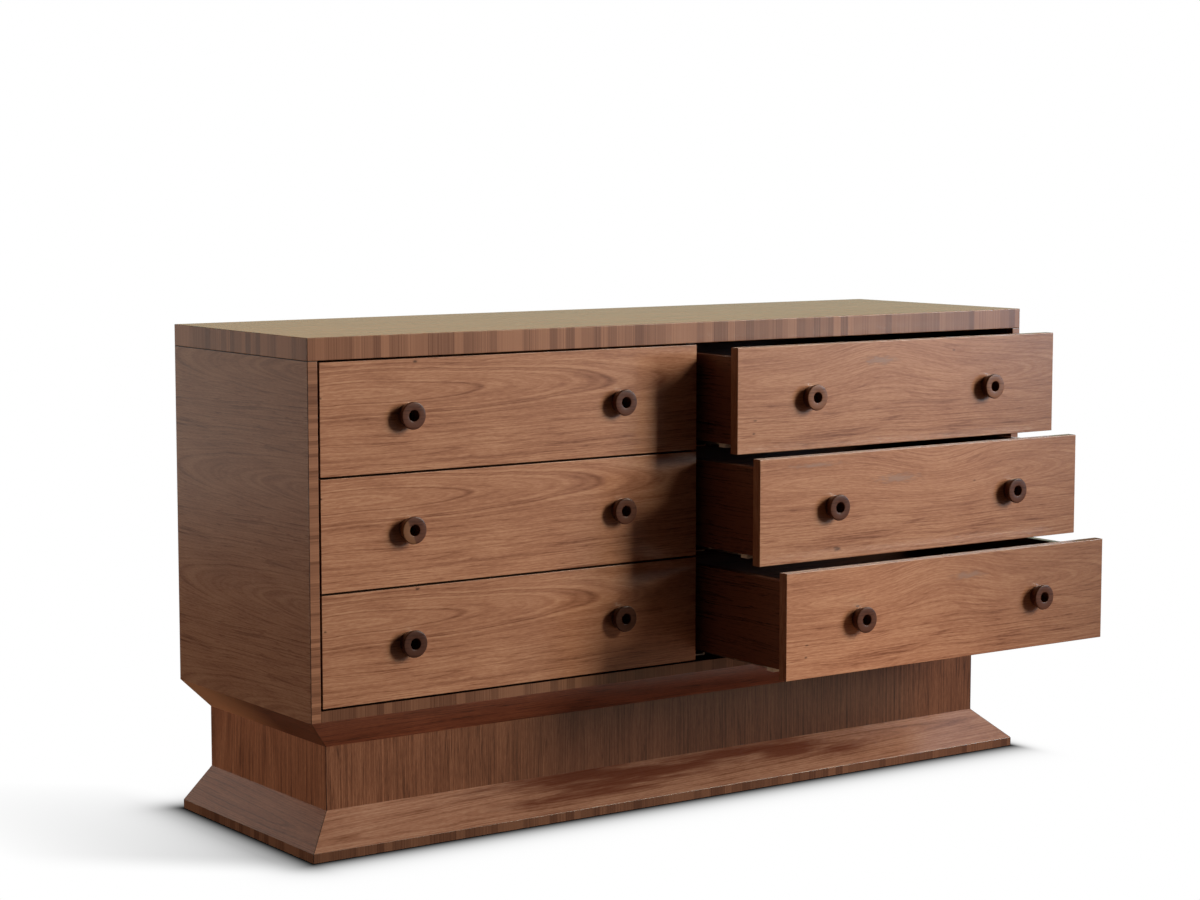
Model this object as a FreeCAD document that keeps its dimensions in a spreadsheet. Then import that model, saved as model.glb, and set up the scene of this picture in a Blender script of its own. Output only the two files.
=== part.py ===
"""Six-drawer chest in walnut veneer on a recessed, flared plinth.

Frame: millimetres, +Z up, the front faces -Y. The origin is on the floor, at the middle of the back,
where the chest stands against a wall. The left drawers are shut and the right ones stand open.
"""
import FreeCAD, Part
import os
import re
import Sketcher

# Driving sizes: name, value, what it measures
SIZES = (
    ("case_width", 1524.0, "outside width of the case"),
    ("case_depth", 460.0, "outside depth of the case"),
    ("overall_height", 835.0, "floor to the top face"),
    ("top_thickness", 36.0, "thickness of the top panel"),
    ("side_thickness", 18.0, "thickness of the side panels"),
    ("bottom_thickness", 18.0, "thickness of the case bottom"),
    ("partition_thickness", 18.0, "thickness of the centre partition"),
    ("partition_setback", 2.0, "drawer front to partition and rails"),
    ("back_thickness", 9.0, "thickness of the back panel"),
    ("rebate_depth", 9.0, "how far the back panel enters each side panel"),
    ("edge_ease", 1.0, "rounding of the veneered edges"),
    ("plinth_height", 226.0, "floor to the underside of the case"),
    ("plinth_inset", 57.5, "case face to plinth face, front and sides"),
    ("plinth_thickness", 18.0, "thickness of the plinth panels"),
    ("moulding_drop", 54.0, "height of the sloping moulding under the case"),
    ("skirt_height", 67.5, "floor to the top of the sloping skirt"),
    ("foot_height", 15.0, "height of the vertical band at the floor"),
    ("foot_inset", 3.0, "case face to foot band"),
    ("block_size", 45.0, "width of the plinth's corner blocks"),
    ("block_height", 110.0, "height of the plinth's corner blocks"),
    ("reveal", 3.0, "gap around and between the drawer fronts"),
    ("front_thickness", 19.0, "thickness of a drawer front"),
    ("box_side_thickness", 15.0, "thickness of a drawer side"),
    ("box_back_thickness", 15.0, "thickness of a drawer back"),
    ("box_bottom_thickness", 9.0, "thickness of a drawer bottom"),
    ("box_side_clearance", 5.0, "drawer side to the wall beside it"),
    ("box_lift", 14.0, "lower edge of a front to lower edge of its sides"),
    ("box_top_drop", 17.0, "upper edge of a front to upper edge of its sides"),
    ("bottom_raise", 13.0, "lower edge of a drawer side to its bottom"),
    ("groove_depth", 6.0, "depth of the grooves that hold a drawer bottom"),
    ("rear_clearance", 32.0, "shut drawer to the back panel"),
    ("knob_end_inset", 161.5, "end of a front to the knob's axis"),
    ("knob_face_diameter", 46.0, "knob, across its face before rounding"),
    ("knob_base_diameter", 37.0, "knob, across its base"),
    ("knob_length", 18.0, "knob, base to face"),
    ("knob_bore_diameter", 18.5, "blind bore in the knob's face"),
    ("knob_bore_depth", 15.0, "depth of that bore"),
    ("knob_edge_radius", 2.0, "rounding of the knob's face edge"),
    ("knob_lip_radius", 1.0, "rounding of the bore's lip"),
    ("screw_diameter", 4.0, "shank of a knob screw"),
    ("screw_head_diameter", 8.0, "head of a knob screw"),
    ("screw_head_height", 3.0, "height of that head"),
    ("screw_grip", 14.0, "length of screw in the drawer front"),
    ("screw_clearance", 0.15, "play around a screw in its hole"),
    ("runner_steel", 1.5, "sheet thickness of rails and channels"),
    ("runner_play", 0.4, "play between a rail and its channel"),
    ("channel_width", 18.0, "outside width of a runner channel"),
    ("channel_gap", 1.5, "drawer side to channel"),
    ("channel_foot_gap", 3.0, "rail web to the channel's lower edge"),
    ("rail_flange_height", 30.0, "height of a rail's flange on its wall"),
    ("clip_length", 18.0, "locking clip, front to back"),
    ("clip_drop", 7.0, "height of a clip under the drawer side"),
    ("clip_setback", 30.0, "drawer front to clip"),
    ("clip_clearance", 2.5, "clip to the rail web under it"),
    ("right_top_open", 110.0, "how far the right top drawer stands open"),
    ("right_middle_open", 172.0, "how far the right middle drawer stands open"),
    ("right_bottom_open", 244.0, "how far the right bottom drawer stands open"),
)
NAMES = {name for name, value, note in SIZES}
ROWS = ("top", "middle", "bottom")
COLUMNS = ("left", "right")
KNOBS_PER_FRONT = 2
ON_PLANE = 1e-6

# Sizes that follow from the driving ones, as expressions in their names
TOP_UNDERSIDE = "(overall_height - top_thickness)"
CASE_FLOOR = "(plinth_height + bottom_thickness)"
PLINTH_HALF = "(case_width/2 - plinth_inset)"
OPENING_WIDTH = "(case_width/2 - side_thickness - partition_thickness/2)"
COLUMN_PITCH = "(case_width/2 - side_thickness + partition_thickness/2)"
FRONT_WIDTH = "(case_width/2 - side_thickness - 1.5*reveal)"
FRONT_HEIGHT = f"(({TOP_UNDERSIDE} - {CASE_FLOOR} - 4*reveal)/3)"
ROW_PITCH = f"({FRONT_HEIGHT} + reveal)"
BOX_LENGTH = "(case_depth - front_thickness - back_thickness - rear_clearance)"
BOX_TOP = f"({FRONT_HEIGHT} - box_top_drop)"
BOX_INNER = "(box_side_clearance + box_side_thickness)"
BOTTOM_UNDER = "(box_lift + bottom_raise)"
BOTTOM_UPPER = f"({BOTTOM_UNDER} + box_bottom_thickness)"
KNOB_FLOOR = "(knob_length - knob_bore_depth)"
KNOB_SPACING = f"({FRONT_WIDTH} - 2*knob_end_inset)"
SCREW_HOLE_RADIUS = "(screw_diameter/2 + screw_clearance)"
WEB_TOP = "(box_lift - clip_drop - clip_clearance)"
WEB_UNDER = f"({WEB_TOP} - runner_steel)"
CHANNEL_NEAR = f"({BOX_INNER} + channel_gap)"
CHANNEL_FAR = f"({CHANNEL_NEAR} + channel_width)"
RAIL_NEAR = f"({CHANNEL_NEAR} + runner_steel + runner_play)"
RAIL_FAR = f"({CHANNEL_FAR} - runner_steel - runner_play)"
RAIL_TOP = f"({BOTTOM_UNDER} - runner_steel - runner_play)"

doc = FreeCAD.newDocument("chest")
dims = doc.addObject("Spreadsheet::Sheet", "dims")
nodes = []


def fill_sheet():
    """Write the driving sizes into the sheet, one row each."""
    for row, (name, value, note) in enumerate(SIZES, start=1):
        dims.set(f"A{row}", name)
        dims.set(f"B{row}", str(value))
        dims.set(f"C{row}", note)
        dims.setAlias(f"B{row}", name)
    doc.recompute()


def ex(text):
    """An expression on the sheet: each size's name gets the sheet's name before it."""
    return re.sub(r"[a-z_]+", lambda m: f"dims.{m.group()}" if m.group() in NAMES else m.group(), text)


def bind(thing, **values):
    """Bind properties to expressions on the sheet."""
    for name, text in values.items():
        thing.setExpression(name, ex(text))


def place(thing, x, y, z):
    """Bind the object's place in the chest's frame."""
    for axis, text in zip("xyz", (x, y, z)):
        thing.setExpression(f"Placement.Base.{axis}", ex(text))


def node(thing, label):
    """Name a finished sub-part, which gets its own file."""
    thing.Label = label
    nodes.append(thing)
    return thing


def box(label, size, at):
    """A plain rectangular piece."""
    piece = doc.addObject("Part::Box", label)
    bind(piece, Length=size[0], Width=size[1], Height=size[2])
    place(piece, *at)
    return piece


def sketch_on(body, role, name):
    """An empty sketch on one of the body's own origin planes."""
    sketch = body.newObject("Sketcher::SketchObject", name)
    plane = next(f for f in body.Origin.OriginFeatures if f.Role == role)
    sketch.AttachmentSupport = [(plane, "")]
    sketch.MapMode = "FlatFace"
    return sketch


def fix_point(sketch, geometry, end, x, y):
    """Fix a point of the sketch at expressions x and y, on the axes where one is 0."""
    for kind, axis, text in (("DistanceX", -2, x), ("DistanceY", -1, y)):
        if text == "0":
            sketch.addConstraint(Sketcher.Constraint("PointOnObject", geometry, end, axis))
            continue
        index = sketch.addConstraint(Sketcher.Constraint(kind, -1, 1, geometry, end, number(text)))
        sketch.setExpression(f"Constraints[{index}]", ex(text))


def number(text):
    """The value of an expression with the sheet's present sizes."""
    return float(dims.evalExpression(ex(text)))


def polygon(sketch, points):
    """Add a closed outline through points given as pairs of expressions."""
    corners = [FreeCAD.Vector(number(x), number(y), 0) for x, y in points]
    first = sketch.GeometryCount
    count = len(corners)
    for i, corner in enumerate(corners):
        sketch.addGeometry(Part.LineSegment(corner, corners[(i + 1) % count]))
    for i, (x, y) in enumerate(points):
        nearest = first + (i + 1) % count
        sketch.addConstraint(Sketcher.Constraint("Coincident", first + i, 2, nearest, 1))
        fix_point(sketch, first + i, 1, x, y)


def circle(sketch, x, y, radius):
    """Add a circle with its centre and radius given as expressions."""
    centre = FreeCAD.Vector(number(x), number(y), 0)
    index = sketch.addGeometry(Part.Circle(centre, FreeCAD.Vector(0, 0, 1), number(radius)))
    fix_point(sketch, index, 3, x, y)
    rule = sketch.addConstraint(Sketcher.Constraint("Radius", index, number(radius)))
    sketch.setExpression(f"Constraints[{rule}]", ex(radius))


def rectangle(x0, y0, x1, y1):
    """The corners of a rectangle, as expressions."""
    return [(x0, y0), (x1, y0), (x1, y1), (x0, y1)]


def mirrored(points, width):
    """The same outline seen from the other side of a space of that width."""
    return [(f"({width} - {x})", y) for x, y in points]


def padded(label, role, outlines, length):
    """A body padded from outlines on an origin plane, towards +X, +Y or +Z."""
    body = doc.addObject("PartDesign::Body", label)
    sketch = sketch_on(body, role, f"{label}_outline")
    for points in outlines:
        polygon(sketch, points)
    pad = body.newObject("PartDesign::Pad", f"{label}_pad")
    pad.Profile = sketch
    pad.Reversed = role == "XZ_Plane"
    bind(pad, Length=length)
    doc.recompute()
    return body


def pocketed(body, sketch, length):
    """Cut the sketch out of the body, towards +X or +Y, and make sure that it cut."""
    before = body.Shape.Volume
    pocket = body.newObject("PartDesign::Pocket", f"{sketch.Name}_pocket")
    pocket.Profile = sketch
    pocket.Reversed = sketch.AttachmentSupport[0][0].Role == "YZ_Plane"
    bind(pocket, Length=length)
    doc.recompute()
    if body.Shape.Volume > before - ON_PLANE:
        raise RuntimeError(f"{pocket.Name} cut nothing")
    return pocket


def eased(body, radius, chosen=None):
    """Round all edges of the body's last feature, or those that chosen accepts."""
    base = body.Tip
    fillet = body.newObject("PartDesign::Fillet", f"{body.Name}_fillet_{len(body.Group)}")
    edges = [f"Edge{i}" for i, e in enumerate(base.Shape.Edges, start=1) if chosen is None or chosen(e)]
    fillet.Base = (base, edges)
    bind(fillet, Radius=radius)
    doc.recompute()


def revolved(label, points):
    """A body turned about its own Y axis from an outline of radii and heights."""
    body = doc.addObject("PartDesign::Body", label)
    sketch = sketch_on(body, "XY_Plane", f"{label}_outline")
    polygon(sketch, points)
    turned = body.newObject("PartDesign::Revolution", f"{label}_turned")
    turned.Profile = sketch
    turned.ReferenceAxis = (sketch, ["V_Axis"])
    doc.recompute()
    return body


def repeated(body, role, count, pitch):
    """Repeat the whole body along one of its own axes."""
    axis = next(f for f in body.Origin.OriginFeatures if f.Role == role)
    pattern = body.newObject("PartDesign::LinearPattern", f"{body.Name}_along_{role}")
    pattern.TransformMode = "Whole shape"
    pattern.Direction = (axis, [""])
    pattern.Mode = "Spacing"
    pattern.Occurrences = count
    bind(pattern, Offset=pitch)
    body.Tip = pattern
    doc.recompute()


def group(label, pieces):
    """Several separate solids in one node."""
    whole = doc.addObject("Part::Compound", label)
    whole.Links = pieces
    return node(whole, label)


def on_front(edge):
    """Whether an edge lies in its body's own front plane."""
    return edge.BoundBox.YMax < ON_PLANE


def on_floor(edge):
    """Whether an edge lies in its body's own lower plane."""
    return edge.BoundBox.ZMax < ON_PLANE


def case_panels():
    """Top, sides, bottom, back and partition. The sides stay square where they meet the moulding."""
    top = padded("top_panel", "XY_Plane", [rectangle("0", "0", "case_width", "case_depth")], "top_thickness")
    eased(top, "edge_ease")
    place(node(top, "top_panel"), "-case_width/2", "-case_depth", TOP_UNDERSIDE)

    height = f"{TOP_UNDERSIDE} - plinth_height"
    outline = [
        ("0", "0"),
        ("side_thickness", "0"),
        ("side_thickness", "(case_depth - back_thickness)"),
        ("(side_thickness - rebate_depth)", "(case_depth - back_thickness)"),
        ("(side_thickness - rebate_depth)", "case_depth"),
        ("0", "case_depth"),
    ]
    left = padded("left_side_panel", "XY_Plane", [outline], height)
    eased(left, "edge_ease", lambda e: not on_floor(e) and (e.BoundBox.XMax < ON_PLANE or on_front(e)))
    place(node(left, "left_side_panel"), "-case_width/2", "-case_depth", "plinth_height")
    right = padded("right_side_panel", "XY_Plane", [mirrored(outline, "side_thickness")], height)
    outer = number("side_thickness") - ON_PLANE
    eased(right, "edge_ease", lambda e: not on_floor(e) and (e.BoundBox.XMin > outer or on_front(e)))
    place(node(right, "right_side_panel"), "case_width/2 - side_thickness", "-case_depth", "plinth_height")

    inner_left = "side_thickness - case_width/2"
    bottom_size = ("case_width - 2*side_thickness", "case_depth - back_thickness", "bottom_thickness")
    node(box("bottom_panel", bottom_size, (inner_left, "-case_depth", "plinth_height")), "bottom_panel")
    back_size = ("case_width - 2*(side_thickness - rebate_depth)", "back_thickness", height)
    back_at = (f"{inner_left} - rebate_depth", "-back_thickness", "plinth_height")
    node(box("back_panel", back_size, back_at), "back_panel")
    front_edge = "front_thickness + partition_setback"
    partition_size = (
        "partition_thickness",
        f"case_depth - back_thickness - ({front_edge})",
        f"{TOP_UNDERSIDE} - {CASE_FLOOR}",
    )
    partition_at = ("-partition_thickness/2", f"{front_edge} - case_depth", CASE_FLOOR)
    node(box("centre_partition", partition_size, partition_at), "centre_partition")


def sloped_length(label, side, outer, height, waste, z):
    """One length of moulding or skirt, mitred at the front corners, with a sloping face.

    outer is how far its outermost line lies inside the case's face. waste is the triangle that is
    cut off its section, as pairs of distance from the case's face and height.
    """
    inner = "plinth_inset"
    plans = {
        "front": [
            (outer, outer),
            (f"(case_width - {outer})", outer),
            (f"(case_width - {inner})", inner),
            (inner, inner),
        ],
        "left": [(outer, outer), (inner, inner), (inner, "case_depth"), (outer, "case_depth")],
    }
    plans["right"] = mirrored(plans["left"], "case_width")
    body = padded(label, "XY_Plane", [plans[side]], height)
    sketch = sketch_on(body, "YZ_Plane" if side == "front" else "XZ_Plane", f"{label}_waste")
    polygon(sketch, mirrored(waste, "case_width") if side == "right" else waste)
    pocketed(body, sketch, "case_width" if side == "front" else "case_depth")
    place(node(body, label), "-case_width/2", "-case_depth", z)
    return body


def base():
    """The sloping moulding under the case, the plinth, its corner blocks and the flared skirt."""
    moulding_waste = [("0", "0"), ("plinth_inset", "0"), ("0", "moulding_drop")]
    skirt_waste = [
        ("foot_inset", "foot_height"),
        ("plinth_inset", "skirt_height"),
        ("foot_inset", "skirt_height"),
    ]
    foot = number("foot_height")
    width = f"(2*{PLINTH_HALF})"
    depth = "(case_depth - plinth_inset)"
    behind = "plinth_thickness"
    plans = {
        "front": [("0", "0"), (width, "0"), (f"({width} - {behind})", behind), (behind, behind)],
        "left": [("0", "0"), (behind, behind), (behind, depth), ("0", depth)],
    }
    plans["right"] = mirrored(plans["left"], width)
    front_y = "plinth_inset - case_depth"
    for side, plan in plans.items():
        under_case = "plinth_height - moulding_drop"
        sloped_length(f"upper_moulding_{side}", side, "0", "moulding_drop", moulding_waste, under_case)
        skirt = sloped_length(f"skirt_{side}", side, "foot_inset", "skirt_height", skirt_waste, "0")
        eased(skirt, "edge_ease", lambda e: abs(e.BoundBox.ZMin - foot) + abs(e.BoundBox.ZMax - foot) < ON_PLANE)
        panel = padded(f"plinth_{side}", "XY_Plane", [plan], "plinth_height")
        place(node(panel, f"plinth_{side}"), f"-{PLINTH_HALF}", front_y, "0")

    behind_front = f"{front_y} + plinth_thickness"
    inside = f"({PLINTH_HALF} - plinth_thickness)"
    back_size = (f"2*{inside}", "plinth_thickness", "plinth_height")
    node(box("plinth_back", back_size, (f"-{inside}", "-plinth_thickness", "0")), "plinth_back")

    block_size = ("block_size", "block_size", "block_height")
    blocks = []
    for name, x in (("left", f"-{inside}"), ("right", f"{inside} - block_size")):
        for depth, y in (("front", behind_front), ("back", "-plinth_thickness - block_size")):
            at = (x, y, "plinth_height - block_height")
            blocks.append(box(f"corner_block_{depth}_{name}", block_size, at))
    group("plinth_corner_blocks", blocks)


def cabinet_rails():
    """The fixed runner rails: a folded steel section on each wall of each drawer opening."""
    section = [
        ("0", WEB_UNDER),
        (f"({RAIL_NEAR} + runner_steel)", WEB_UNDER),
        (f"({RAIL_NEAR} + runner_steel)", f"({RAIL_TOP} - runner_steel)"),
        (f"({RAIL_FAR} - runner_steel)", f"({RAIL_TOP} - runner_steel)"),
        (f"({RAIL_FAR} - runner_steel)", WEB_UNDER),
        (RAIL_FAR, WEB_UNDER),
        (RAIL_FAR, RAIL_TOP),
        (RAIL_NEAR, RAIL_TOP),
        (RAIL_NEAR, WEB_TOP),
        ("runner_steel", WEB_TOP),
        ("runner_steel", f"({WEB_UNDER} + rail_flange_height)"),
        ("0", f"({WEB_UNDER} + rail_flange_height)"),
    ]
    pair = [section, mirrored(section, OPENING_WIDTH)]
    rails = padded("cabinet_rails", "XZ_Plane", pair, f"{BOX_LENGTH} - partition_setback")
    repeated(rails, "X_Axis", len(COLUMNS), COLUMN_PITCH)
    repeated(rails, "Z_Axis", len(ROWS), ROW_PITCH)
    front_edge = "front_thickness + partition_setback - case_depth"
    place(node(rails, "cabinet_rails"), "side_thickness - case_width/2", front_edge, f"{CASE_FLOOR} + reveal")


def drawer_box(name, x, y, z):
    """The two sides, the back and the bottom of a drawer, behind its front."""
    side = [
        ("box_side_clearance", "box_lift"),
        (BOX_INNER, "box_lift"),
        (BOX_INNER, BOTTOM_UNDER),
        (f"({BOX_INNER} - groove_depth)", BOTTOM_UNDER),
        (f"({BOX_INNER} - groove_depth)", BOTTOM_UPPER),
        (BOX_INNER, BOTTOM_UPPER),
        (BOX_INNER, BOX_TOP),
        ("box_side_clearance", BOX_TOP),
    ]
    behind = f"{y} + front_thickness"
    for hand, points in (("left", side), ("right", mirrored(side, OPENING_WIDTH))):
        label = f"{name}_box_{hand}"
        place(node(padded(label, "XZ_Plane", [points], BOX_LENGTH), label), x, behind, z)
    inside = f"({OPENING_WIDTH} - 2*{BOX_INNER})"
    bottom_size = (f"{inside} + 2*groove_depth", BOX_LENGTH, "box_bottom_thickness")
    bottom_at = (f"{x} + {BOX_INNER} - groove_depth", behind, f"{z} + {BOTTOM_UNDER}")
    node(box(f"{name}_box_bottom", bottom_size, bottom_at), f"{name}_box_bottom")
    back_size = (inside, "box_back_thickness", f"{BOX_TOP} - {BOTTOM_UPPER}")
    back_y = f"{behind} + {BOX_LENGTH} - box_back_thickness"
    node(box(f"{name}_box_back", back_size, (f"{x} + {BOX_INNER}", back_y, f"{z} + {BOTTOM_UPPER}")),
         f"{name}_box_back")


def drawer_front(name, x, y, z):
    """A flat front with eased edges and a screw hole behind each knob."""
    outline = rectangle("0", "0", FRONT_WIDTH, FRONT_HEIGHT)
    front = padded(f"{name}_front", "XZ_Plane", [outline], "front_thickness")
    eased(front, "edge_ease")
    holes = sketch_on(front, "XZ_Plane", f"{name}_front_holes")
    for hole_x in ("knob_end_inset", f"({FRONT_WIDTH} - knob_end_inset)"):
        circle(holes, hole_x, f"({FRONT_HEIGHT}/2)", SCREW_HOLE_RADIUS)
    pocketed(front, holes, "screw_grip + screw_clearance")
    place(node(front, f"{name}_front"), x, y, z)


def drawer_knobs(name, x, y, z):
    """Two turned ring knobs, wider at the face than at the base, with a blind bore."""
    outline = [
        (SCREW_HOLE_RADIUS, "0"),
        ("(knob_base_diameter/2)", "0"),
        ("(knob_face_diameter/2)", "-knob_length"),
        ("(knob_bore_diameter/2)", "-knob_length"),
        ("(knob_bore_diameter/2)", f"-{KNOB_FLOOR}"),
        (SCREW_HOLE_RADIUS, f"-{KNOB_FLOOR}"),
    ]
    knobs = revolved(f"{name}_knobs", outline)
    face = ON_PLANE - number("knob_length")
    middle = number("knob_face_diameter + knob_bore_diameter")/2
    for radius, is_rim in (("knob_edge_radius", True), ("knob_lip_radius", False)):
        def on_face_edge(e):
            return e.BoundBox.YMax < face and (e.BoundBox.XLength > middle) == is_rim
        eased(knobs, radius, on_face_edge)
    repeated(knobs, "X_Axis", KNOBS_PER_FRONT, KNOB_SPACING)
    place(node(knobs, f"{name}_knobs"), x, y, z)


def drawer_hardware(name, wall_x, knob_x, y, z, knob_z):
    """Runner channels and locking clips under the box, and the screws that hold the knobs."""
    foot = f"({WEB_TOP} + channel_foot_gap)"
    section = [
        (CHANNEL_NEAR, foot),
        (f"({CHANNEL_NEAR} + runner_steel)", foot),
        (f"({CHANNEL_NEAR} + runner_steel)", f"({BOTTOM_UNDER} - runner_steel)"),
        (f"({CHANNEL_FAR} - runner_steel)", f"({BOTTOM_UNDER} - runner_steel)"),
        (f"({CHANNEL_FAR} - runner_steel)", foot),
        (CHANNEL_FAR, foot),
        (CHANNEL_FAR, BOTTOM_UNDER),
        (CHANNEL_NEAR, BOTTOM_UNDER),
    ]
    behind = f"{y} + front_thickness"
    pair = [section, mirrored(section, OPENING_WIDTH)]
    channels = padded(f"{name}_channels", "XZ_Plane", pair, BOX_LENGTH)
    place(channels, wall_x, behind, z)

    clip = rectangle("box_side_clearance", "(box_lift - clip_drop)", CHANNEL_NEAR, "box_lift")
    clips = padded(f"{name}_clips", "XZ_Plane", [clip, mirrored(clip, OPENING_WIDTH)], "clip_length")
    place(clips, wall_x, f"{behind} + clip_setback", z)

    outline = [
        ("0", f"(-{KNOB_FLOOR} - screw_head_height)"),
        ("(screw_head_diameter/2)", f"(-{KNOB_FLOOR} - screw_head_height)"),
        ("(screw_head_diameter/2)", f"-{KNOB_FLOOR}"),
        ("(screw_diameter/2)", f"-{KNOB_FLOOR}"),
        ("(screw_diameter/2)", "screw_grip"),
        ("0", "screw_grip"),
    ]
    screws = revolved(f"{name}_screws", outline)
    repeated(screws, "X_Axis", KNOBS_PER_FRONT, KNOB_SPACING)
    place(screws, knob_x, y, knob_z)
    group(f"{name}_hardware", [channels, clips, screws])


def drawers():
    """Six drawers, three rows in two columns, each at its own place and opening."""
    walls = {"left": "side_thickness - case_width/2", "right": "partition_thickness/2"}
    front_ends = {"left": "side_thickness - case_width/2 + reveal", "right": "reveal/2"}
    for column in COLUMNS:
        for row, level in enumerate(ROWS):
            name = f"{column}_{level}_drawer"
            y = f"-case_depth - right_{level}_open" if column == "right" else "-case_depth"
            z = f"{CASE_FLOOR} + reveal + {len(ROWS) - 1 - row}*{ROW_PITCH}"
            knob_x = f"{front_ends[column]} + knob_end_inset"
            knob_z = f"{z} + {FRONT_HEIGHT}/2"
            drawer_front(name, front_ends[column], y, z)
            drawer_knobs(name, knob_x, y, knob_z)
            drawer_box(name, walls[column], y, z)
            drawer_hardware(name, walls[column], knob_x, y, z, knob_z)


def write_parts():
    """Make sure that every object is sound, then write one file per sub-part."""
    doc.recompute()
    for thing in doc.Objects:
        if {"Invalid", "Error"} & set(thing.State):
            raise RuntimeError(f"{thing.Label} failed: {thing.State}")
    for thing in nodes:
        if thing.Shape.isNull() or not thing.Shape.isValid() or not thing.Shape.Solids:
            raise RuntimeError(f"{thing.Label} has no sound solid")
    os.makedirs("parts", exist_ok=True)
    for thing in nodes:
        thing.Shape.exportStep(f"parts/{thing.Label}.step")
        print(thing.Label, len(thing.Shape.Solids), "solids", round(thing.Shape.Volume), "mm3")


fill_sheet()
case_panels()
base()
cabinet_rails()
drawers()
write_parts()
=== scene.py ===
"""Looks of a six-drawer walnut chest on a recessed, flared plinth.

Laid out as a Blender add-on and run as a script. Everything is in metres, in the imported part's frame:
the origin is on the floor at the middle of the back, +X is to the right, the front faces -Y, +Z is up.
"""
import math

import bmesh
import bpy
from mathutils import Matrix, Vector


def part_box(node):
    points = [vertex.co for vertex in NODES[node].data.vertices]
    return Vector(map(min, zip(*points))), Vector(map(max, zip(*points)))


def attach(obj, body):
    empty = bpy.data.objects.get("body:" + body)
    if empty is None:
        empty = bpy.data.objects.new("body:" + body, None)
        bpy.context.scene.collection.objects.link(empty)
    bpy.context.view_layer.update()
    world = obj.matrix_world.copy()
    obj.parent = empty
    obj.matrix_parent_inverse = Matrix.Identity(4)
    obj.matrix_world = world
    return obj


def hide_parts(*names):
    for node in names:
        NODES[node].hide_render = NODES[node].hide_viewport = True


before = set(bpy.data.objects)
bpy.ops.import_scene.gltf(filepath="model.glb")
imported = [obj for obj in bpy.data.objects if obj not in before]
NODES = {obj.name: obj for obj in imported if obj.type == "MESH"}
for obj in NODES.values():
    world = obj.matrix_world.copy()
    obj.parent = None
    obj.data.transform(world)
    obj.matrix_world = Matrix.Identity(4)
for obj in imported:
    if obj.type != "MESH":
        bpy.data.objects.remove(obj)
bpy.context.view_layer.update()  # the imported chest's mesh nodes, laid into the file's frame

bl_info = {
    "name": "Walnut chest of drawers",
    "version": (1, 0, 0),
    "blender": (4, 5, 0),
    "location": "View3D > Sidebar > Chest",
    "description": "Dresses the packed six-drawer chest in walnut and sets up its studio",
    "category": "Object",
}

DRAWERS = [f"{column}_{row}_drawer" for column in ("left", "right") for row in ("top", "middle", "bottom")]
X, Y, Z = 0, 1, 2
MM = 0.001
WHITE = (1, 1, 1)
LATE_HALF = 1.3*MM  # half the width of a late-wood line
CRISP = math.radians(32)  # edges that turn more than this stay crisp

# Places read from the frame
TOP_LOW, TOP_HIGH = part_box("top_panel")
HALF_WIDTH = TOP_HIGH.x
FRONT_Y = TOP_LOW.y


def linear(code):
    """The linear RGB of an sRGB hex colour."""
    parts = [int(code[i:i + 2], 16)/255 for i in (0, 2, 4)]
    return tuple(c/12.92 if c <= 0.04045 else ((c + 0.055)/1.055)**2.4 for c in parts)


def tint(name, code, description):
    """A colour that a user may change."""
    return bpy.props.FloatVectorProperty(
        name=name, description=description, subtype="COLOR", size=3, min=0, max=1, default=linear(code))


def size(name, millimetres, description):
    """A length that a user may change."""
    return bpy.props.FloatProperty(
        name=name, description=description, unit="LENGTH", min=0, precision=4, default=millimetres*MM)


def share(name, value, description):
    """A plain factor that a user may change."""
    return bpy.props.FloatProperty(
        name=name, description=description, subtype="FACTOR", min=0, max=2, default=value)


class ChestColours(bpy.types.PropertyGroup):
    """Colours of the chest's woods, steel and plastic."""

    veneer_light: tint("Veneer, light", "c5906e", "Early wood of the walnut veneer")
    veneer_middle: tint("Veneer, middle", "ae7657", "Middle tone of the walnut veneer")
    veneer_dark: tint("Veneer, dark", "804d33", "Late wood and dark lines of the veneer")
    mineral: tint("Mineral streak", "ad8f80", "Greyish mineral streaks in the right-hand fronts")
    band_light: tint("Edging, light", "aa7557", "Lightest strips of the cross-grain edging")
    band_dark: tint("Edging, dark", "6d412b", "Darkest strips of the cross-grain edging")
    # Besides glue lines, this colour is painted shade on the bottom's flat faces and along the sides' top
    # edge
    seam: tint("Seam", "24110a", "Glue lines at mitres and corners")
    box_light: tint("Drawer box, light", "774a38", "Light wood of the drawer boxes")
    box_dark: tint("Drawer box, dark", "341c15", "Dark wood of the drawer boxes")
    knob_light: tint("Knob, light", "5f3a2c", "Light wood of the turned knobs")
    knob_dark: tint("Knob, dark", "3d2118", "Dark wood of the turned knobs")
    # Real sapwood in one knob; at the back of the left moulding this colour is painted light
    sapwood_and_painted_light: tint("Sapwood", "8a5f42", "Pale sapwood in one knob and at the back of the left moulding")
    steel: tint("Steel", "b9b6ae", "Zinc plated runner steel")
    black_steel: tint("Black steel", "141210", "Blackened steel of the knob screws")
    nylon: tint("Nylon", "f0e8d6", "Moulded nylon clips and glides")
    # Painted shade: the fronts' edges, seen in the gaps between them, are darker than their faces
    end_shade: share("Front ends", 0.68, "How light the fronts' edges are beside their faces")
    moulding: tint("Moulding", "c6a097", "Stain of the moulding over the veneer's tones")
    plinth: tint("Plinth", "a59993", "Stain of the plinth and the left skirt over the veneer's tones")
    skirt: tint("Skirt", "c7ceda", "Stain of the front and right skirt over the veneer's tones")
    foot: tint("Foot", "aaa7a5", "Stain of the foot's and the bottom's edging over the top's")


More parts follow.
